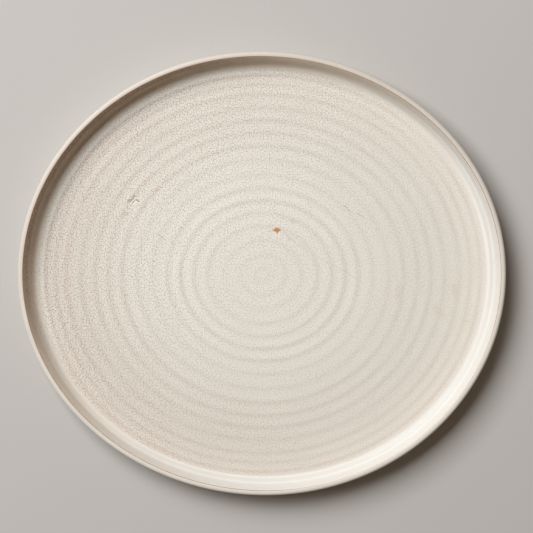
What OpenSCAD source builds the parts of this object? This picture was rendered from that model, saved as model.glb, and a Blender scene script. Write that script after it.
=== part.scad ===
// Oval stoneware serving platter: one thrown clay body under three coats of glaze.
//
// Every oval here is four arcs that meet tangentially, so each surface is a true plane, cone or torus.
// Origin: middle of the foot ring, on the surface it stands on. +X is the long way, +Z is up.

/* [Platter] */
// Outside of the rim, the long way
rim_length = 406; // [380:2:440]
// Outside of the rim, the short way
rim_width = 370; // [350:2:380]
// Foot to lip
platter_height = 30; // [27:0.5:36]
// Clay and glaze together, under the well
floor_thickness = 6; // [5:0.5:8]

/* [Wall and lip] */
// Clay and glaze together
wall_thickness = 4.8; // [4.4:0.1:6]
// Outward lean of the wall, from upright
wall_lean = 8; // [4:1:14]
// Radius between the well's floor and its wall
cove_radius = 6; // [4:0.5:8]
// Radius between the wall and the underside
heel_radius = 7; // [5:0.5:8]
// Outer edge of the lip
lip_outer_radius = 2.4; // [2:0.1:2.6]
// Inner edge of the lip
lip_inner_radius = 1.2; // [1:0.1:1.4]

/* [Throwing rings] */
// Finger grooves left in the well's floor
ring_count = 14; // [1:1:14]
// Groove to groove, as a share of the rim
ring_spacing = 0.06; // [0.05:0.005:0.06]
// Width of a groove
ring_width = 8; // [6:0.5:9]
// Depth of a groove
ring_depth = 0.2; // [0.1:0.05:0.3]

/* [Foot ring] */
// Rim to the outside of the foot
foot_inset = 24; // [20:1:40]
// Width of the foot where it joins the underside
foot_width = 8; // [7:0.5:12]
// Height of the foot
foot_height = 3; // [2:0.5:4]
// Bevel along both edges of the foot
foot_bevel = 1; // [0.5:0.25:1.5]

/* [Glaze] */
// Thickness of each coat
glaze_thickness = 0.6; // [0.5:0.1:0.8]
// Line of bare clay along the inner edge of the lip
bare_line_width = 0.7; // [0.5:0.1:0.9]

/* [Hidden] */
$fn = 180;

clay_colour = [0.66, 0.53, 0.42];
glaze_colour = [0.88, 0.85, 0.80];

// The arcs' centres make right triangles whose three sides are whole multiples of one unit.
triangle_base = 20;
triangle_rise = 21;
triangle_slope = 29;
arc_unit = (rim_length - rim_width) / 2 / (triangle_base + triangle_rise - triangle_slope);
end_centre = triangle_base * arc_unit;
side_centre = triangle_rise * arc_unit;
end_radius = rim_length / 2 - end_centre;
side_radius = rim_width / 2 + side_centre;

// The wedge that each arc lies in, from the arc's centre to past the widest rim.
wedge_unit = 16; // a whole number, which keeps the wedges' edges exact
wedge_base = triangle_base * wedge_unit;
wedge_rise = triangle_rise * wedge_unit;
end_wedge = [[0, 0], [wedge_base, -wedge_rise], [wedge_base, wedge_rise]];
side_wedge = [[0, 0], [wedge_base, wedge_rise], [-wedge_base, wedge_rise]];

// Sections are drawn with x = 0 at the rim and the well at negative x. z is the height.
underside_z = foot_height;
floor_z = foot_height + floor_thickness;
middle_x = -rim_length;
foot_outer_x = -foot_inset;
foot_inner_x = foot_outer_x - foot_width;

// Unit vector square to the wall, pointing out of the well.
wall_normal = [cos(wall_lean), -sin(wall_lean)];

// A straight wall face is the line of points p with p * wall_normal equal to a set distance.
lip_outer_centre = [-lip_outer_radius, platter_height - lip_outer_radius];
outer_face = lip_outer_centre * wall_normal + lip_outer_radius;
inner_face = outer_face - wall_thickness;
lip_inner_centre = at_height(platter_height - lip_inner_radius, inner_face + lip_inner_radius);
cove_centre = at_height(floor_z + cove_radius, inner_face - cove_radius);
heel_centre = at_height(underside_z + heel_radius, outer_face - heel_radius);

// The groove's arc passes through both its edges and its deepest point.
ring_arc_radius = (pow(ring_width / 2, 2) + pow(ring_depth, 2)) / (2 * ring_depth);
// How far the groove's cut goes on above the floor.
ring_cut_above = ring_depth / 2;

// Rounded edges stand this far proud of the faces they join, so that the two cross cleanly.
edge_overlap = 0.0005;

// Direction from the lip's inner edge to the bare line, and what lies on the well's side of it.
bare_line_angle = 135;
bare_line_direction = [cos(bare_line_angle), sin(bare_line_angle)];

// The point of a straight wall face at a height.
function at_height(z, face) = [(face - z * wall_normal[1]) / wall_normal[0], z];

// Carries a section round an oval. `share` is the oval's size as a share of the rim's.
module oval_sweep(share = 1) {
    for (side = [0, 1])
        mirror([side, 0, 0])
            translate([end_centre * share, 0, 0])
                arc_sweep(end_radius * share, end_wedge)
                    children();
    for (side = [0, 1])
        mirror([0, side, 0])
            translate([0, -side_centre * share, 0])
                arc_sweep(side_radius * share, side_wedge)
                    children();
}

// Carries a section round one arc, within the wedge that has its tip at the arc's centre.
module arc_sweep(radius, wedge) {
    intersection() {
        rotate_extrude()
            intersection() {
                translate([radius, 0])
                    children();
                translate([0, -platter_height])
                    square([rim_length, 3 * platter_height]);
            }
        translate([0, 0, -platter_height])
            linear_extrude(height = 3 * platter_height)
                polygon(wedge);
    }
}

// Half of the platter's section without its foot, with `skin` taken off all its surfaces.
module section(skin) {
    difference() {
        union() {
            polygon([
                [middle_x, underside_z + skin],
                [heel_centre[0], underside_z + skin],
                heel_centre,
                heel_centre + (heel_radius - skin) * wall_normal,
                lip_outer_centre + (lip_outer_radius - skin) * wall_normal,
                lip_outer_centre,
                [lip_outer_centre[0], platter_height - skin],
                [lip_inner_centre[0], platter_height - skin],
                lip_inner_centre,
                lip_inner_centre - (lip_inner_radius - skin) * wall_normal,
                cove_centre + (cove_radius + skin) * wall_normal,
                cove_centre,
                [cove_centre[0], floor_z - skin],
                [middle_x, floor_z - skin]
            ]);
            disc(heel_centre, heel_radius - skin + edge_overlap);
            disc(lip_outer_centre, lip_outer_radius - skin + edge_overlap);
            disc(lip_inner_centre, lip_inner_radius - skin + edge_overlap);
        }
        disc(cove_centre, cove_radius + skin + edge_overlap);
    }
}

module disc(centre, radius) {
    translate(centre)
        circle(r = radius);
}

// Section of the foot: a low band with its lower edges bevelled.
module foot_section() {
    polygon([
        [foot_inner_x + foot_bevel, 0],
        [foot_outer_x - foot_bevel, 0],
        [foot_outer_x, foot_bevel],
        [foot_outer_x, underside_z + glaze_thickness],
        [foot_inner_x, underside_z + glaze_thickness],
        [foot_inner_x, foot_bevel]
    ]);
}

// The glaze all round the section, before it is wiped from the foot and the bare line.
module coat() {
    difference() {
        section(0);
        section(glaze_thickness);
    }
}

// A strip across the coat, where the lip's inner edge shows bare clay.
module bare_line() {
    translate(lip_inner_centre)
        rotate(bare_line_angle)
            translate([0, -bare_line_width / 2])
                square([2 * lip_inner_radius, bare_line_width]);
}

// The space on the well's side of the bare line.
module well_side() {
    polygon([
        lip_inner_centre,
        lip_inner_centre + 2 * platter_height * bare_line_direction,
        [middle_x, 2 * platter_height],
        [middle_x, floor_z - 2 * glaze_thickness],
        [cove_centre[0], floor_z - 2 * glaze_thickness],
        at_height(floor_z, inner_face + 2 * glaze_thickness)
    ]);
}

// What one pass of the potter's finger takes off a floor at z = 0.
module groove_section() {
    intersection() {
        disc([0, ring_arc_radius - ring_depth], ring_arc_radius);
        translate([-ring_width, -2 * ring_depth])
            square([2 * ring_width, 2 * ring_depth + ring_cut_above]);
    }
}

module throwing_rings(z) {
    translate([0, 0, z])
        for (i = [1 : ring_count])
            oval_sweep(share = i * ring_spacing)
                groove_section();
}

// Bare fired clay: floor, wall and foot ring, reaching the surface only at the foot and the line.
module clay_body() {
    color(clay_colour)
        difference() {
            oval_sweep() {
                section(glaze_thickness);
                foot_section();
                intersection() {
                    section(0);
                    bare_line();
                }
            }
            throwing_rings(floor_z - glaze_thickness);
        }
}

// The coat that lines the well, as deep in the throwing rings as between them.
module inside_glaze() {
    color(glaze_colour)
        difference() {
            union() {
                oval_sweep()
                    difference() {
                        intersection() {
                            coat();
                            well_side();
                        }
                        bare_line();
                    }
                throwing_rings(floor_z - glaze_thickness);
            }
            throwing_rings(floor_z);
        }
}

// The coat over the lip and down the outside, as far as the foot.
module outside_glaze() {
    color(glaze_colour)
        oval_sweep()
            difference() {
                coat();
                well_side();
                bare_line();
                translate([middle_x, 0])
                    square([foot_outer_x - middle_x, underside_z + 2 * glaze_thickness]);
            }
}

// The coat inside the foot ring.
module underside_glaze() {
    color(glaze_colour)
        oval_sweep()
            translate([middle_x, underside_z])
                square([foot_inner_x - middle_x, glaze_thickness]);
}

clay_body();
inside_glaze();
outside_glaze();
underside_glaze();
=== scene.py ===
"""Looks of the oval stoneware serving platter: one clay body and its three coats of glaze.

All shapes are worked out in millimetres and turned into metres when a mesh is made.
A section is a list of (share, inset, height) points. Inset is how far a point lies inside the rim, and
share scales the oval it lies on towards the middle, so that the flat areas can close at the centre.
"""

import math

import bpy
import numpy as np
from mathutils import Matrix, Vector


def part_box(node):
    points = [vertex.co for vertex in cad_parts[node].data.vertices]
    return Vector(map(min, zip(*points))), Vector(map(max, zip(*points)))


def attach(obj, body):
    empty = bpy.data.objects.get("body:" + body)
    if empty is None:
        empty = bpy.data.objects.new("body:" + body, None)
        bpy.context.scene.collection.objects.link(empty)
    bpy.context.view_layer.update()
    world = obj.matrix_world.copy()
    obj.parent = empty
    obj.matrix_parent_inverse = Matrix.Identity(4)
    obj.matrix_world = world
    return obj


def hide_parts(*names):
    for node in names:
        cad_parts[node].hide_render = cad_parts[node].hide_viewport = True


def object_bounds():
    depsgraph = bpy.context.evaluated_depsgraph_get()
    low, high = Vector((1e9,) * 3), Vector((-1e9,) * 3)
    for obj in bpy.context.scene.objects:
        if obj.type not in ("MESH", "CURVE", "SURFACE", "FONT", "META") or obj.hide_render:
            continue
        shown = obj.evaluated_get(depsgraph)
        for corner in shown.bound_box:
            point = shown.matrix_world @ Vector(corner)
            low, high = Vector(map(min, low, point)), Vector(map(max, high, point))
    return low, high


# A millimetre in metres, and the number of steps round the oval.
METRES = 0.001
AROUND = 480

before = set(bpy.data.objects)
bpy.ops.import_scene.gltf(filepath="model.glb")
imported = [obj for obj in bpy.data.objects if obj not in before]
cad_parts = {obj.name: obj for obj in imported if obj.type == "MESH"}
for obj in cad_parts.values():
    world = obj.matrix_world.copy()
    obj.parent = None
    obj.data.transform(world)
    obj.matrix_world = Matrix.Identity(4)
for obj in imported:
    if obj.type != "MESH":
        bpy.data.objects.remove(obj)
cad_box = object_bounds()

# The platter's main sizes, from the CAD frame. UNDER_CLAY is the height of the clay under the base.
HALF_LENGTH, HALF_WIDTH, HEIGHT = (size / METRES for size in cad_box[1])
FOOT_HEIGHT, UNDER_CLAY = (corner.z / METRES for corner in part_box("underside_glaze"))
GLAZE = UNDER_CLAY - FOOT_HEIGHT

# The sizes that the frame's boxes don't show, as in the CAD source.
FLOOR_THICKNESS = 6.0
WALL_THICKNESS = 4.8
WALL_LEAN = math.radians(8)
COVE_RADIUS = 6.0
HEEL_RADIUS = 7.0
LIP_OUTER_RADIUS = 2.4
LIP_INNER_RADIUS = 1.2
FOOT_INSET = 24.0
FOOT_WIDTH = 8.0
FOOT_BEVEL = 1.0

# The height of the well's floor.
FLOOR_HEIGHT = FOOT_HEIGHT + FLOOR_THICKNESS

# The glaze's edges: the bare line along the lip, and the strip wiped clean beside the foot ring.
BARE_LINE_WIDTH = 0.7
BARE_LINE_ANGLE = math.radians(135)
BARE_LINE_DEPTH = 0.05
EDGE_ROUNDING = 0.2
EDGE_CHAMFER = 0.3
WIPED_WIDTH = 0.9

# The wall's outward normal and its two faces, as (across, up) with 0 across at the rim.
NORMAL = np.array([math.cos(WALL_LEAN), -math.sin(WALL_LEAN)])
LIP_OUTER = np.array([-LIP_OUTER_RADIUS, HEIGHT - LIP_OUTER_RADIUS])
OUTER_FACE = LIP_OUTER @ NORMAL + LIP_OUTER_RADIUS
INNER_FACE = OUTER_FACE - WALL_THICKNESS

# The throwing rings: their middle, spacing and relief, and the radii where they crowd and fade out.
RING_CENTRE = np.array([0.35, -0.9])
RING_PITCH = 12.2
RING_START = 12.4
RING_RELIEF = 0.06
CROWDED_FROM = 166.0
EDGE_RING_PITCH = 8.3
RINGS_FADE = (185, 189.5)

# How strong the rings are, and the bolder ones: their radius, the width they cover and extra strength.
RING_STRENGTH = 0.34
BOLD_RINGS = [(50, 8, 0.2), (71, 12, 0.67), (117, 7, 0.33), (138, 13, 0.38), (167, 9, 0.3), (183, 5, 0.5)]

# The trimming tool's spiral on the base.
TRIM_PITCH = 6.0
TRIM_RELIEF = 0.05

# The rim's outline: waves round it, their size and the azimuth of a crest. The first makes the oval.
RIM_WAVES = [(2, (HALF_LENGTH - HALF_WIDTH) / 2, -1.6), (3, 0.2, -55.0), (4, 0.27, 19.6)]

# The warp of the lip: waves round it, their size and phase, and how far it all sits down.
LIP_WAVES = [(2, 0.22, 0.7), (3, 0.12, -1.2), (7, 0.06, 0.0)]
LIP_DROP = 0.3

# The slow waves of the floor: radians per millimetre along x and y, and phase.
FLOOR_WAVES = [(0.061, 0.023, 0.4), (-0.034, 0.072, 1.9), (0.108, -0.071, 2.7), (0.015, 0.14, 4.1)]
FLOOR_WAVE_HEIGHT = 0.08

# The throwing lines up the wall, and the heights between which they fade in and out.
WALL_LINE_PITCH = 3.4
WALL_LINE_HEIGHT = 0.07
WALL_LINES_START = (12, 15)
WALL_LINES_STOP = (26, 28)

# How far out the floor's relief fades, the wall begins and the base ends, with the rim at 1.
FLOOR_FADES = (0.92, 0.938)
WALL_BEGINS = (0.93, 0.95)
BASE_ENDS = 0.82


def at_height(z, face):
    """The point of a straight wall face at a height."""
    return np.array([(face - z * NORMAL[1]) / NORMAL[0], z])


LIP_INNER = at_height(HEIGHT - LIP_INNER_RADIUS, INNER_FACE + LIP_INNER_RADIUS)
COVE = at_height(FLOOR_HEIGHT + COVE_RADIUS, INNER_FACE - COVE_RADIUS)
HEEL = at_height(FOOT_HEIGHT + HEEL_RADIUS, OUTER_FACE - HEEL_RADIUS)
FLOOR_INSET = -COVE[0]
BARE_HALF_ANGLE = BARE_LINE_WIDTH / 2 / LIP_INNER_RADIUS
GLAZE_START = BARE_LINE_ANGLE + BARE_HALF_ANGLE
GLAZE_STOP = BARE_LINE_ANGLE - BARE_HALF_ANGLE


# ---------------------------------------------------------------- sections


def arc(centre, radius, start, stop, steps):
    """Points along an arc, as (share, inset, height)."""
    return [
        (1.0, -(centre[0] + radius * math.cos(a)), centre[1] + radius * math.sin(a))
        for a in np.linspace(start, stop, steps + 1)
    ]


def straight(start, stop, steps):
    """Points strictly between two section points."""
    return [
        tuple(np.array(start) + (np.array(stop) - np.array(start)) * i / steps)
        for i in range(1, steps)
    ]


def flat(inset, height, steps, inwards=False):
    """Points over a flat area from near its middle out to an inset, or the other way."""
    shares = (np.arange(steps) + 0.5) / (steps + 0.5)
    points = [(share, inset, height) for share in shares] + [(1.0, inset, height)]
    return points[::-1] if inwards else points


def well_lining(skin, floor_steps, cove_steps, wall_steps):
    """The well's surface from its middle to the bare line, with `skin` of glaze taken off."""
    cove = arc(COVE, COVE_RADIUS + skin, -math.pi / 2, -WALL_LEAN, cove_steps)
    lip = arc(LIP_INNER, LIP_INNER_RADIUS - skin, math.pi - WALL_LEAN, GLAZE_START, 4)
    floor = flat(FLOOR_INSET, FLOOR_HEIGHT - skin, floor_steps)[:-1]
    return floor + cove + straight(cove[-1], lip[0], wall_steps) + lip


def outside_lining(skin, wall_steps):
    """The surface from the bare line over the lip, down the outside and under to the foot."""
    inner_lip = arc(LIP_INNER, LIP_INNER_RADIUS - skin, GLAZE_STOP, math.pi / 2, 4)
    outer_lip = arc(LIP_OUTER, LIP_OUTER_RADIUS - skin, math.pi / 2, -WALL_LEAN, 10)
    heel = arc(HEEL, HEEL_RADIUS - skin, -WALL_LEAN, -math.pi / 2, 10)
    return inner_lip + outer_lip + straight(outer_lip[-1], heel[0], wall_steps) + heel


def rounded_edge(angle):
    """The point that rounds a coat over at the bare line."""
    return arc(LIP_INNER, LIP_INNER_RADIUS - EDGE_ROUNDING, angle, angle, 0)


def inside_glaze_section():
    """The top of the coat, rounded over at the bare line, and back along the clay."""
    top = well_lining(0, floor_steps=124, cove_steps=9, wall_steps=14)
    back = well_lining(GLAZE, floor_steps=10, cove_steps=5, wall_steps=4)
    return top + rounded_edge(GLAZE_START) + back[::-1]


def outside_glaze_section():
    """A closed loop: the outside of the coat down to the foot, and back along the clay."""
    stop = FOOT_INSET - WIPED_WIDTH
    outer = outside_lining(0, wall_steps=18)
    inner = outside_lining(GLAZE, wall_steps=5)
    outer_end = (1.0, stop - EDGE_CHAMFER, FOOT_HEIGHT)
    tip = (1.0, stop, FOOT_HEIGHT + EDGE_CHAMFER)
    inner_end = (1.0, stop, UNDER_CLAY)
    under = straight(outer[-1], outer_end, 6) + [outer_end, tip, inner_end]
    return rounded_edge(GLAZE_STOP) + outer + under + inner[::-1]


def underside_glaze_section():
    """A disc within the foot ring, wiped back a little from it, from its clay side to its face."""
    edge = FOOT_INSET + FOOT_WIDTH + WIPED_WIDTH
    back = flat(edge, UNDER_CLAY, 10)
    face = flat(edge + EDGE_CHAMFER, FOOT_HEIGHT, 130, inwards=True)
    return back + [(1.0, edge, FOOT_HEIGHT + EDGE_CHAMFER)] + face


def foot_section():
    """The foot ring, from its outer side down and up again on its inner side."""
    inner_side = FOOT_INSET + FOOT_WIDTH
    ease = FOOT_BEVEL * 0.3
    return [
        (1.0, FOOT_INSET, UNDER_CLAY),
        (1.0, FOOT_INSET, FOOT_BEVEL),
        (1.0, FOOT_INSET + ease, ease),
        (1.0, FOOT_INSET + FOOT_BEVEL, 0.0),
        (1.0, inner_side - FOOT_BEVEL, 0.0),
        (1.0, inner_side - ease, ease),
        (1.0, inner_side, FOOT_BEVEL),
        (1.0, inner_side, UNDER_CLAY),
    ]


def clay_section():
    """The whole clay body, from the middle of the well round to the middle of the underside."""
    well = well_lining(GLAZE, floor_steps=60, cove_steps=6, wall_steps=6)
    line = arc(LIP_INNER, LIP_INNER_RADIUS - BARE_LINE_DEPTH, GLAZE_START, GLAZE_STOP, 4)
    outside = outside_lining(GLAZE, wall_steps=8)
    base_inset = FOOT_INSET + FOOT_WIDTH + 2.0
    base = flat(base_inset, UNDER_CLAY, 20, inwards=True)
    return well + line + outside + foot_section() + base


# ---------------------------------------------------------------- shape of the real platter


def outline(angle, inset):
    """Points of the rim's oval, moved in by an inset, where the oval's normal points along angle.

    The oval is slightly fuller at some corners than at others, as a hand-eased one is.
    """
    reach = np.full_like(angle, (HALF_LENGTH + HALF_WIDTH) / 2) - inset
    slope = np.zeros_like(angle)
    for count, size, turn in RIM_WAVES:
        phase = count * (angle - math.radians(turn))
        reach = reach + size * np.cos(phase)
        slope = slope - count * size * np.sin(phase)
    x = reach * np.cos(angle) - slope * np.sin(angle)
    y = reach * np.sin(angle) + slope * np.cos(angle)
    return x, y


def smooth_step(value, low, high):
    """0 below low, 1 above high and smooth between them."""
    t = np.clip((value - low) / (high - low), 0, 1)
    return t * t * (3 - 2 * t)


def ring_wave(x, y):
    """Where a point lies on the throwing rings, from about 1 in a hollow to about -1 on a ridge."""
    dx = x - RING_CENTRE[0]
    dy = (y - RING_CENTRE[1]) * HALF_LENGTH / HALF_WIDTH
    radius = np.hypot(dx, dy)
    turn = np.arctan2(dy, dx)
    drift = 1.8 + 1.0 * np.cos(2 * math.pi * (radius - 50) / 70) * smooth_step(radius, 15, 45)
    drift = drift * smooth_step(radius, 5, 45) + 0.5 * np.sin(turn * 2 + radius / 31)
    crowding = np.maximum(radius - CROWDED_FROM, 0) * (RING_PITCH / EDGE_RING_PITCH - 1)
    phase = 2 * math.pi * (radius - drift - RING_START + crowding) / RING_PITCH
    strength = RING_STRENGTH + sum(
        extra * np.exp(-(((radius - middle) / width) ** 2)) for middle, width, extra in BOLD_RINGS
    )
    shape = np.cos(phase) - 0.2 * np.cos(2 * phase)
    return strength * (1 - smooth_step(radius, *RINGS_FADE)) * shape


def trim_wave(x, y):
    """Height of the fine spiral left on the base by the trimming tool, from -1 to 1."""
    radius = np.hypot(x, y * HALF_LENGTH / HALF_WIDTH)
    turn = np.arctan2(y, x)
    wander = 0.15 * np.sin(radius / 9) + 0.09 * np.sin(3 * turn + radius / 17)
    strength = 0.5 + 0.5 * np.sin(radius / 13 + 1.0)
    return strength * np.cos(2 * math.pi * (radius / TRIM_PITCH + turn / (2 * math.pi) + wander))


def unevenness(x, y):
    """Slow waves of a hand-thrown floor, from about -1 to 1."""
    return sum(np.sin(x * a + y * b + phase) for a, b, phase in FLOOR_WAVES) / len(FLOOR_WAVES)


def floor_rise(x, y, z, reach):
    """How far the throwing rings and slow waves lift the well's floor."""
    on_floor = smooth_step(z, FLOOR_HEIGHT - 2, FLOOR_HEIGHT - 1)
    on_floor = on_floor * (1 - smooth_step(z, FLOOR_HEIGHT + 0.5, FLOOR_HEIGHT + 2))
    on_floor = on_floor * (1 - smooth_step(reach, *FLOOR_FADES))
    return on_floor * (-RING_RELIEF * ring_wave(x, y) + FLOOR_WAVE_HEIGHT * unevenness(x, y))


def lip_rise(turn, z):
    """How far the warp of the lip lifts the wall, most at its top."""
    warp = sum(size * np.cos(count * turn + phase) for count, size, phase in LIP_WAVES)
    return smooth_step(z, FLOOR_HEIGHT + 3, HEIGHT) * (warp - LIP_DROP)


def base_rise(x, y, z, reach):
    """How far the trimming tool's spiral lifts the base inside the foot ring."""
    on_base = (z < FOOT_HEIGHT + 1) * (reach < BASE_ENDS)
    return on_base * TRIM_RELIEF * trim_wave(x, y)


def wall_push(turn, z, reach):
    """How far the throwing lines push the wall outwards."""
    on_wall = smooth_step(z, *WALL_LINES_START) * (1 - smooth_step(z, *WALL_LINES_STOP))
    on_wall = on_wall * smooth_step(reach, *WALL_BEGINS)
    wander = turn + 0.6 * np.sin(3 * turn)
    return on_wall * WALL_LINE_HEIGHT * np.sin(2 * math.pi * z / WALL_LINE_PITCH + wander)


def settle(points):
    """Moves ideal points to where the hand-made platter has them, in the clay and glaze alike."""
    x, y, z = points.T
    turn = np.arctan2(y, x)
    reach = np.hypot(x / HALF_LENGTH, y / HALF_WIDTH)
    z = z + floor_rise(x, y, z, reach) + lip_rise(turn, z)
    z = z + base_rise(x, y, z, reach)
    push = 1 + wall_push(turn, z, reach) / HALF_LENGTH
    return np.stack([x * push, y * push, z], axis=1)


# ---------------------------------------------------------------- meshes


def carried_round(section):
    """The section's points carried round the oval: for each of them, a ring of points."""
    angle = np.linspace(0, 2 * math.pi, AROUND, endpoint=False)
    rings = []
    for share, inset, height in section:
        x, y = outline(angle, inset)
        rings.append(np.stack([x * share, y * share, np.full_like(x, height)], axis=1))
    return np.concatenate(rings)


def side_faces(count, closed):
    """Faces between each ring and the next, and between the last and the first if closed."""
    step = np.arange(AROUND)
    after = (step + 1) % AROUND
    faces = []
    for i in range(count if closed else count - 1):
        low = i * AROUND
        high = (i + 1) % count * AROUND
        faces += np.stack([low + step, low + after, high + after, high + step], 1).tolist()
    return faces


def end_faces(count):
    """Fans that join the first and the last ring to the two middle points, which follow the rings."""
    first_middle = count * AROUND
    last_middle = first_middle + 1
    last_ring = first_middle - AROUND
    pairs = [(i, (i + 1) % AROUND) for i in range(AROUND)]
    first_fan = [[first_middle, b, a] for a, b in pairs]
    last_fan = [[last_middle, last_ring + a, last_ring + b] for a, b in pairs]
    return first_fan + last_fan


def note_rings(mesh, points):
    """Stores each point's place on the throwing or trimming rings, which the materials read."""
    x, y, z = points.T
    wave = np.where(z > FLOOR_HEIGHT - 2, ring_wave(x, y), trim_wave(x, y))
    mesh.attributes.new("ring", "FLOAT", "POINT").data.foreach_set("value", wave.astype(np.float32))


def sweep(name, section, closed=False):
    """Carries a section round the oval and makes a mesh of it. An open section ends at the middle."""
    points = carried_round(section)
    faces = side_faces(len(section), closed)
    if not closed:
        middles = [[0, 0, section[0][2]], [0, 0, section[-1][2]]]
        points = np.concatenate([points, middles])
        faces += end_faces(len(section))
    points = settle(points)
    mesh = bpy.data.meshes.new(name)
    mesh.from_pydata((points * METRES).tolist(), [], faces)
    note_rings(mesh, points)
    mesh.polygons.foreach_set("use_smooth", [True] * len(mesh.polygons))
    mesh.update()
    mesh.validate()
    piece = bpy.data.objects.new(name, mesh)
    bpy.context.scene.collection.objects.link(piece)
    return piece


# ---------------------------------------------------------------- shader building


class Graph:
    """A material's node tree, with short calls for the nodes used here. Sizes are in millimetres."""

    def __init__(self, name):
        self.material = bpy.data.materials.new(name)
        self.material.use_nodes = True
        self.tree = self.material.node_tree
        self.shader = self.tree.nodes["Principled BSDF"]
        place = self.add("ShaderNodeTexCoord").outputs["Object"]
        self.place = self.vector("SCALE", place, scale=1 / METRES)
        split = self.add("ShaderNodeSeparateXYZ")
        self.put(split.inputs[0], self.place)
        self.x, self.y, self.z = split.outputs

    def add(self, kind, **settings):
        """A new node with some of its settings changed."""
        node = self.tree.nodes.new(kind)
        for key, value in settings.items():
            setattr(node, key, value)
        return node

    def put(self, socket, value):
        """Joins an output to a socket, or sets the socket to a plain value."""
        if isinstance(value, bpy.types.NodeSocket):
            self.tree.links.new(value, socket)
        else:
            socket.default_value = value

    def vector(self, operation, first, second=None, scale=None):
        """The result of a vector operation, which is a number for a length."""
        node = self.add("ShaderNodeVectorMath", operation=operation)
        self.put(node.inputs[0], first)
        if second is not None:
            self.put(node.inputs[1], second)
        if scale is not None:
            self.put(node.inputs["Scale"], scale)
        return node.outputs["Value" if operation == "LENGTH" else "Vector"]

    def chain(self, operation, values):
        """A sum, product or maximum of numbers, worked out from left to right."""
        out = values[0]
        for value in values[1:]:
            node = self.add("ShaderNodeMath", operation=operation)
            self.put(node.inputs[0], out)
            self.put(node.inputs[1], value)
            out = node.outputs[0]
        return out

    def total(self, *values):
        """The values added up."""
        return self.chain("ADD", values)

    def product(self, *values):
        """The values multiplied together."""
        return self.chain("MULTIPLY", values)

    def greatest(self, *values):
        """The greatest of the values."""
        return self.chain("MAXIMUM", values)

    def fade(self, value, low, high, start=0.0, stop=1.0):
        """start below low, stop above high and smooth between them."""
        node = self.add("ShaderNodeMapRange", interpolation_type="SMOOTHSTEP")
        for socket, item in zip(node.inputs, (value, low, high, start, stop)):
            self.put(socket, item)
        return node.outputs[0]

    def noise(self, size, detail=2.0, roughness=0.5, place=None):
        """Noise about 0 whose features are about `size` millimetres."""
        node = self.add("ShaderNodeTexNoise")
        self.put(node.inputs["Vector"], place or self.place)
        self.put(node.inputs["Scale"], 1 / size)
        self.put(node.inputs["Detail"], detail)
        self.put(node.inputs["Roughness"], roughness)
        return self.total(node.outputs[0], -0.5)

    def pebbles(self, size):
        """Close-set round dots about `size` millimetres apart on the floor, from -0.5 to 0.5."""
        node = self.add("ShaderNodeTexVoronoi", voronoi_dimensions="2D")
        self.put(node.inputs["Vector"], self.wobbled(3.0, 0.6))
        self.put(node.inputs["Scale"], 1 / size)
        self.put(node.inputs["Randomness"], 0.8)
        return self.fade(node.outputs["Distance"], 0.15, 0.65, 0.5, -0.5)

    def mix(self, factor, first, second):
        """The first colour at factor 0, the second at factor 1."""
        node = self.add("ShaderNodeMix", data_type="RGBA")
        self.put(node.inputs["Factor"], factor)
        self.put(node.inputs["A"], first)
        self.put(node.inputs["B"], second)
        return node.outputs["Result"]

    def attribute(self, name):
        """A number that the mesh stores at each point."""
        return self.add("ShaderNodeAttribute", attribute_name=name).outputs["Fac"]

    def wobbled(self, size, reach):
        """The place on the floor plane, pushed about by noise so that marks have uneven edges."""
        node = self.add("ShaderNodeTexNoise")
        self.put(node.inputs["Vector"], self.place)
        self.put(node.inputs["Scale"], 1 / size)
        shift = self.vector("SUBTRACT", node.outputs["Color"], (0.5, 0.5, 0.5))
        moved = self.vector("ADD", self.place, self.vector("SCALE", shift, scale=2 * reach))
        return self.vector("MULTIPLY", moved, (1, 1, 0))

    def marks(self, shapes, place, soft=0.5):
        """1 within any of a list of long ovals on the floor, fading to 0 at their edges."""
        inside = []
        for x, y, length, width, turn in shapes:
            node = self.add("ShaderNodeMapping", vector_type="TEXTURE")
            self.put(node.inputs["Vector"], place)
            self.put(node.inputs["Location"], (x, y, 0))
            self.put(node.inputs["Rotation"], (0, 0, math.radians(turn)))
            self.put(node.inputs["Scale"], (length / 2, width / 2, 1))
            away = self.vector("LENGTH", node.outputs[0])
            inside.append(self.fade(away, 1 - soft, 1 + soft, 1.0, 0.0))
        return self.greatest(*inside)

    def towards_side(self, azimuth):
        """How far over towards a side a point lies, from 0 to 1. Most uses set where painted light and
        shade lie.
        """
        turn = math.radians(azimuth)
        over = self.total(self.product(self.x, math.cos(turn)), self.product(self.y, math.sin(turn)))
        return self.fade(over, -HALF_LENGTH, HALF_LENGTH)

    def bump(self, height, depth):
        """Bumps whose height runs over `depth` millimetres as `height` goes from 0 to 1."""
        node = self.add("ShaderNodeBump")
        self.put(node.inputs["Height"], height)
        self.put(node.inputs["Distance"], depth * METRES)
        self.put(node.inputs["Strength"], 1.0)
        return node.outputs[0]

    def finish(self, colour, roughness, normal, fixed):
        """Joins colour, roughness and bumps to the shader and sets its fixed values."""
        self.put(self.shader.inputs["Base Color"], colour)
        self.put(self.shader.inputs["Roughness"], roughness)
        self.put(self.shader.inputs["Normal"], normal)
        for name, value in fixed.items():
            self.shader.inputs[name].default_value = value
        return self.material


# ---------------------------------------------------------------- materials

MATT = {"IOR": 1.5}
SEMI_MATT = {"IOR": 1.5, "Coat Weight": 0.12, "Coat Roughness": 0.35}

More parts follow.
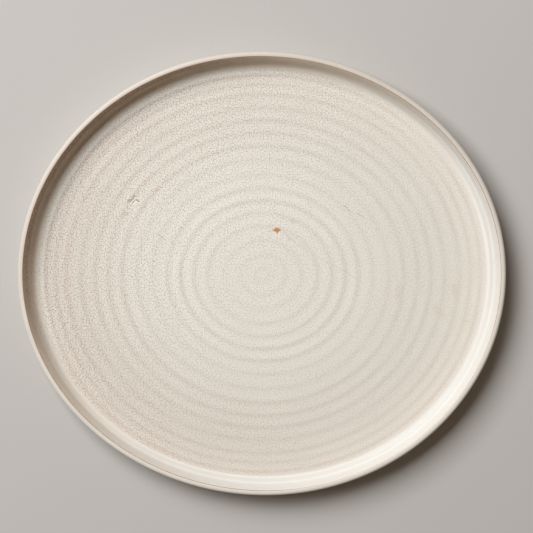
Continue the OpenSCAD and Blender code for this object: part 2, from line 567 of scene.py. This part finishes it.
THINNEST_GLAZE = (0.454, 0.37, 0.316, 1)
THIN_GLAZE = (0.59, 0.53, 0.47, 1)
THICK_GLAZE = (0.862, 0.85, 0.777, 1)
# The brown of the painted shade on the upper left wall, which lies in shadow.
WALL_SHADE_BROWN = (0.40, 0.25, 0.15, 1)
WALL_THIN = (0.60, 0.575, 0.53, 1)
WALL_THICK = (0.865, 0.855, 0.82, 1)
# A warm painted bounce light for the shaded upper left wall.
WALL_BOUNCE_TINT = (0.95, 0.85, 0.73, 1)
IRON = (0.52, 0.25, 0.095, 1)
STAIN = (0.50, 0.33, 0.21, 1)
CUT = (0.30, 0.20, 0.13, 1)
# The white of the painted highlights along the scratches.
GLINT_WHITE = (0.93, 0.92, 0.88, 1)
FOOT_CLAY = (0.22, 0.13, 0.08, 1)
FOOT_GROG = (0.46, 0.32, 0.21, 1)
LIP_CLAY = (0.44, 0.23, 0.12, 1)
COVERED_CLAY = (0.72, 0.56, 0.44, 1)

# Where the floor turns up into the wall, and the lower right side, whose inner wall faces the lamp and
# gets painted shade.
WALL_FOOT = (187.5, 190.5)
LIT_WALL_AZIMUTH = -54

# Small flaws in the well's glaze: middle x and y, length, width and turn in degrees.
IRON_SPOT = [(12.4, 36.5, 6.6, 2.3, 0), (12.5, 37.4, 4.6, 2.3, 0), (12.7, 35.2, 1.8, 2.4, 0)]
SCRATCHES = [
    (-111.6, 61.4, 4.8, 1.0, 43),
    (-109.3, 62.2, 8.4, 1.0, 48),
    (-107.9, 60.4, 4.2, 1.0, 45),
    (-107.7, 65.4, 2.4, 1.3, 20),
    (-104.5, 61.4, 3.6, 1.3, -35),
]
# Pale marks along the scratches, which are painted highlights.
SCRATCH_GLINTS = [(-110.6, 61.2, 6.0, 0.9, 45), (-108.6, 60.8, 6.0, 0.9, 46), (-106.3, 60.2, 3.4, 1.6, 30)]
HAIRLINES = [
    (71.9, 54.3, 7.4, 0.7, -48),
    (69.0, 56.6, 2.4, 0.7, -10),
    (83.1, 48.8, 8.0, 0.6, -33),
]
STREAKS = [
    (22.6, 29.4, 4.4, 1.7, -48),
    (23.0, 30.6, 14.0, 1.0, -42),
    (6.6, 35.9, 5.6, 0.8, 5),
    (18.0, 46.3, 5.2, 1.1, -35),
    (-84.3, 30.7, 8.6, 1.8, -38),
    (-75.6, 25.2, 9.8, 1.1, 106),
    (172.5, -40.0, 9.0, 0.6, -15),
    (142.0, -78.5, 9.0, 0.6, -35),
]
RUNS = [
    (36.5, 20.6, 24, 1.3, -31),
    (54.2, 10.3, 19, 1.2, -29),
    (71.9, 0.2, 23, 1.2, -30),
    (115, -14, 14, 6, 85),
    (149, -32, 13, 6, -50),
    (162, -14, 12, 5, 95),
]
STAINS = [
    (14.5, 49.5, 1.7, 1.5, 0),
    (-1.3, 30.6, 1.5, 1.2, 30),
    (0.2, 34.3, 2.6, 0.8, 80),
    (-114.8, 50.2, 6.4, 3.6, 10),
    (-88.5, 70.3, 5.4, 2.6, 30),
    (-98.6, 56.8, 4.0, 2.4, 60),
    (-86.4, 43.3, 3.0, 1.6, 20),
    (25.2, 43.8, 6.0, 2.6, -15),
    (27.7, -143.6, 3.0, 1.4, 10),
]


class WellGlaze(Graph):
    """The glaze that lines the well.

    Three ramps go from 0 at the upper left, towards the lamp, to 1 at the lower right. They set how
    strong the rings and grain are, and where the colour carries painted light and shade: grain contrast
    that is strongest towards the lamp, brown painted shade, warm painted bounce light and a painted
    light band on and below the shaded upper left wall, and painted shade on the lit lower right wall
    and on the floor beside it.
    """

    def __init__(self):
        super().__init__("inside_glaze")
        self.away_from_lamp = self.towards_side(-35)
        self.lit_wall_side = self.towards_side(LIT_WALL_AZIMUTH)
        self.from_shaded_wall = self.towards_side(-40)
        stretched = self.vector("MULTIPLY", self.place, (1, HALF_LENGTH / HALF_WIDTH, 0))
        self.reach = self.vector("LENGTH", stretched)
        self.wall = self.fade(self.reach, *WALL_FOOT)
        self.floor = self.fade(self.reach, *WALL_FOOT, 1.0, 0.0)
        self.ring = self.attribute("ring")
        self.broken = self.ring_strength()
        self.wall_grain = self.drawn_grain()
        self.stipple = self.whole_grain()

    def ring_strength(self):
        """How clearly the throwing rings show, which changes from place to place."""
        patches = self.fade(self.noise(26, 2), -0.25, 0.15, 0.45, 1.35)
        return self.product(patches, self.total(1.2, self.product(self.away_from_lamp, -0.25)))

    def drawn_grain(self):
        """The grain of the wall, drawn out downwards, and strongest at the upper left."""
        drawn_down = self.vector("MULTIPLY", self.place, (1, 1, 0.2))
        strength = self.fade(self.from_shaded_wall, 0.0, 0.3, 1.8, 0.25)
        return self.product(self.wall, self.noise(1.3, 1.0, place=drawn_down), strength)

    def whole_grain(self):
        """The stipple of the floor and the grain of the wall, patchy, and faint at the lower right."""
        dots = self.total(self.pebbles(1.3), self.product(self.noise(0.8, 0.0), 0.6))
        patches = self.fade(self.noise(38, 2), -0.2, 0.25, 0.85, 1.1)
        # painted light and shade: in the colour, the grain's contrast is strongest towards the lamp at
        # the upper left
        strength = self.product(self.total(0.93, self.product(self.away_from_lamp, -0.68)), patches)
        return self.product(self.total(self.product(self.floor, dots), self.wall_grain), strength)

    def floor_colour(self):
        """Paler in the rings' hollows, with painted shade that darkens it towards the wall, most at the
        left and beside the lit lower right wall, and a pale band of painted light at the foot of the
        shaded upper left wall.

        The tone starts even, and each further line makes it lighter or darker.
        """
        painted_shade = self.total(self.product(self.x, 0.0007), -0.185)
        painted_light_edge = self.product(self.fade(self.reach, 182.0, 185.0), self.floor)
        tone = self.total(
            0.755,
            # painted shade: darker towards the wall, most at the left, and beside the lit lower right
            # wall
            self.product(self.fade(self.reach, 60, 185), painted_shade),
            self.product(self.fade(self.reach, 170, 186), self.fade(self.lit_wall_side, 0.3, 0.8), -0.06),
            self.product(self.ring, self.broken, 0.073),
            # painted light: a pale band at the foot of the shaded upper left wall
            self.product(painted_light_edge, self.fade(self.from_shaded_wall, 0.0, 0.3, 0.42, 0.0)),
            self.product(self.stipple, 0.67),
            self.product(self.noise(55, 3), 0.08),
            self.product(self.noise(9, 2), self.ring, 0.07),
        )
        return self.mix(tone, THINNEST_GLAZE, THICK_GLAZE)

    def wall_colour(self):
        """Painted bounce light makes the shaded upper left wall warmer, and painted shade darkens the lit
        lower right wall and its cove; the lower right is whiter.
        """
        # painted shade in the cove at the lower right, which faces the lamp, eased at its very foot
        foot = self.product(self.fade(self.z, 9.0, 9.4, -0.5, 0.0), self.fade(self.lit_wall_side, 0.5, 0.85))
        cove = self.product(self.fade(self.z, 9.4, 12.2, 1.0, 0.0), self.fade(self.lit_wall_side, 0.05, 0.35))
        tone = self.total(
            # painted shade: the lit lower right wall is darker than the shaded upper left
            self.fade(self.lit_wall_side, 0.55, 0.95, 0.95, 0.80),
            self.product(cove, self.total(0.6, foot), -1.0),
            self.product(self.stipple, 0.8),
            self.product(self.noise(20, 2), 0.1),
        )
        # warm painted bounce light on the shaded upper left wall
        full = self.mix(self.fade(self.from_shaded_wall, 0.0, 0.9), WALL_BOUNCE_TINT, WALL_THICK)
        return self.mix(tone, WALL_THIN, full)

    def painted_wall_shade(self):
        """How much brown painted shade covers the shaded upper left wall, most towards its top."""
        edge = self.total(self.z, self.product(self.noise(12, 3), 5))
        upper_left = self.fade(self.from_shaded_wall, 0.0, 0.2, 0.9, 0.0)
        grainy = self.total(1.0, self.product(self.wall_grain, 0.8))
        return self.product(self.fade(edge, 9.5, 19.0), upper_left, grainy)

    def stained(self):
        """How much brown stain there is: in small flaws and smears, and faintly on the rings' ridges."""
        place = self.wobbled(1.6, 0.7)
        ridges = self.fade(self.ring, -0.6, -0.1, 1.0, 0.0)
        return self.greatest(
            self.product(self.marks(STAINS + STREAKS, place), 0.32),
            self.product(self.marks(HAIRLINES, place), 0.75),
            self.product(self.marks(RUNS, place), self.broken, 0.14),
            self.product(ridges, self.broken, 0.055),
        )


def inside_glaze_material():
    """Cream glaze, stippled most at the upper left and smoother at the lower right, with painted light
    and shade in its colour: stronger stipple contrast towards the lamp, brown painted shade on the shaded
    upper left wall and painted shade on the lit lower right wall.
    """
    g = WellGlaze()
    fine = g.wobbled(1.6, 0.3)
    glinting = g.marks(SCRATCH_GLINTS, fine)
    cut = g.marks(SCRATCHES, fine)
    iron = g.marks(IRON_SPOT, fine, 0.3)

    colour = g.mix(g.wall, g.floor_colour(), g.wall_colour())
    # painted brown shade on the shaded upper left wall
    colour = g.mix(g.painted_wall_shade(), colour, WALL_SHADE_BROWN)
    # painted highlights along the scratches
    colour = g.mix(g.product(glinting, 0.8), colour, GLINT_WHITE)
    colour = g.mix(g.stained(), colour, STAIN)
    colour = g.mix(g.product(cut, 0.8), colour, CUT)
    colour = g.mix(iron, colour, IRON)

    pits = g.total(g.product(iron, -0.8), g.product(cut, -1.2))
    height = g.total(g.product(g.stipple, 0.9), g.product(g.noise(0.9, 1), 0.12), pits)
    rough = g.total(0.46, g.product(g.stipple, 0.25), g.product(g.noise(30, 2), 0.12))
    return g.finish(colour, rough, g.bump(height, 0.09), SEMI_MATT)


def outside_glaze_material():
    """The same glaze on the lip and the outer wall, smoother, with faint throwing lines."""
    g = Graph("outside_glaze")
    drawn_round = g.vector("MULTIPLY", g.place, (0.06, 0.06, 1.0))
    line = g.noise(2.2, 2, 0.55, place=drawn_round)
    grain = g.noise(2.4, 2, 0.6)
    tone = g.total(
        0.15,
        # painted shade and light on the lip: darker at the upper left, which faces the lamp, and paler at
        # the lower right, which faces away
        g.product(g.towards_side(-70), 0.5),
        g.product(line, g.fade(g.z, 25, 28, 0.5, 0.05)),
        g.product(grain, 0.28),
        g.product(g.noise(40, 2), 0.2),
        g.fade(g.z, 3.0, 9.0, -0.12, 0.0),
    )
    colour = g.mix(tone, THIN_GLAZE, THICK_GLAZE)
    rough = g.total(0.44, g.product(grain, 0.2), g.product(g.noise(25, 2), 0.12))
    height = g.total(g.product(grain, 0.5), line)
    return g.finish(colour, rough, g.bump(height, 0.05), SEMI_MATT)


def underside_glaze_material():
    """A thinner coat over the trimmed base, with the trimming tool's rings showing through."""
    g = Graph("underside_glaze")
    grain = g.noise(2.6, 2, 0.6)
    trim = g.product(g.attribute("ring"), g.fade(g.noise(30, 2), -0.2, 0.2, 0.3, 1.2))
    tone = g.total(0.42, g.product(grain, 0.5), g.product(g.noise(45, 3), 0.5), g.product(trim, 0.16))
    glaze = g.mix(tone, THIN_GLAZE, THICK_GLAZE)
    speck = g.fade(g.noise(3.2, 1.0), 0.2, 0.26, 0.0, 0.6)
    colour = g.mix(speck, glaze, STAIN)
    rough = g.total(0.5, g.product(grain, 0.2))
    return g.finish(colour, rough, g.bump(grain, 0.06), MATT)


def bare_clay_material():
    """Fired stoneware: tan where glaze has just run off it at the lip, browner on the foot."""
    g = Graph("bare_clay")
    grog = g.noise(0.8, 2, 0.7)
    foot = g.mix(g.total(grog, 0.5), FOOT_CLAY, FOOT_GROG)
    covered = g.total(g.noise(14, 2), g.fade(g.towards_side(LIT_WALL_AZIMUTH), 0.93, 1.0, 0.1, 0.9))
    lip = g.mix(covered, LIP_CLAY, COVERED_CLAY)
    colour = g.mix(g.fade(g.z, 12, 20), foot, lip)
    rough = g.total(0.78, g.product(grog, 0.3))
    return g.finish(colour, rough, g.bump(grog, 0.12), MATT)


# ---------------------------------------------------------------- scene


def add_piece(name, section, node, material, closed=False):
    """Makes one piece of the platter, which stands for one CAD node."""
    piece = sweep(name, section, closed)
    piece.data.materials.append(material)
    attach(piece, "root")
    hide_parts(node)


def add_floor():
    """A plain pale floor under the platter."""
    reach = 4.0
    mesh = bpy.data.meshes.new("studio_floor")
    corners = [(-reach, -reach, 0), (reach, -reach, 0), (reach, reach, 0), (-reach, reach, 0)]
    mesh.from_pydata(corners, [], [(0, 1, 2, 3)])
    material = bpy.data.materials.new("studio_floor")
    material.use_nodes = True
    shader = material.node_tree.nodes["Principled BSDF"]
    shader.inputs["Base Color"].default_value = (0.52, 0.505, 0.485, 1)
    shader.inputs["Roughness"].default_value = 0.85
    mesh.materials.append(material)
    floor = bpy.data.objects.new("studio_floor", mesh)
    bpy.context.scene.collection.objects.link(floor)


def direction(azimuth, elevation):
    """The unit vector that points to an azimuth and elevation in degrees."""
    a, e = math.radians(azimuth), math.radians(elevation)
    return Vector((math.cos(e) * math.cos(a), math.cos(e) * math.sin(a), math.sin(e)))


def add_area_light(name, azimuth, elevation, distance, size, power, colour):
    """A square soft light that faces the platter."""
    data = bpy.data.lights.new(name, "AREA")
    data.shape = "SQUARE"
    data.size = size
    data.energy = power
    data.color = colour
    light = bpy.data.objects.new(name, data)
    towards = direction(azimuth, elevation)
    light.location = towards * distance
    light.rotation_euler = towards.to_track_quat("Z", "Y").to_euler()
    bpy.context.scene.collection.objects.link(light)


def add_world(colour, strength):
    """An even light from all round."""
    world = bpy.data.worlds.new("studio")
    world.use_nodes = True
    background = world.node_tree.nodes["Background"]
    background.inputs["Color"].default_value = colour
    background.inputs["Strength"].default_value = strength
    bpy.context.scene.world = world


def add_camera():
    """Almost straight above, leaning a little towards +Y, with the long side level."""
    lean = math.radians(3.8)
    distance = 1.4747
    target = Vector((0.0036, 0.00745, HEIGHT * METRES))
    data = bpy.data.cameras.new("camera")
    data.lens = 120
    data.sensor_width = 36
    camera = bpy.data.objects.new("camera", data)
    camera.location = target + distance * Vector((0, math.sin(lean), math.cos(lean)))
    camera.rotation_euler = (-lean, 0, 0)
    bpy.context.scene.collection.objects.link(camera)
    bpy.context.scene.camera = camera


add_piece("clay", clay_section(), "clay_body", bare_clay_material())
add_piece(
    "glaze_inside", inside_glaze_section(), "inside_glaze", inside_glaze_material()
)
add_piece(
    "glaze_outside",
    outside_glaze_section(),
    "outside_glaze",
    outside_glaze_material(),
    closed=True,
)
add_piece(
    "glaze_underside",
    underside_glaze_section(),
    "underside_glaze",
    underside_glaze_material(),
)

add_floor()
add_area_light(
    "key", azimuth=134, elevation=52, distance=3.0, size=1.8, power=108, colour=(1.0, 1.0, 1.0)
)
add_world(colour=(1.0, 0.74, 0.53, 1), strength=0.12)
add_camera()
bpy.context.scene.view_settings.view_transform = "Standard"
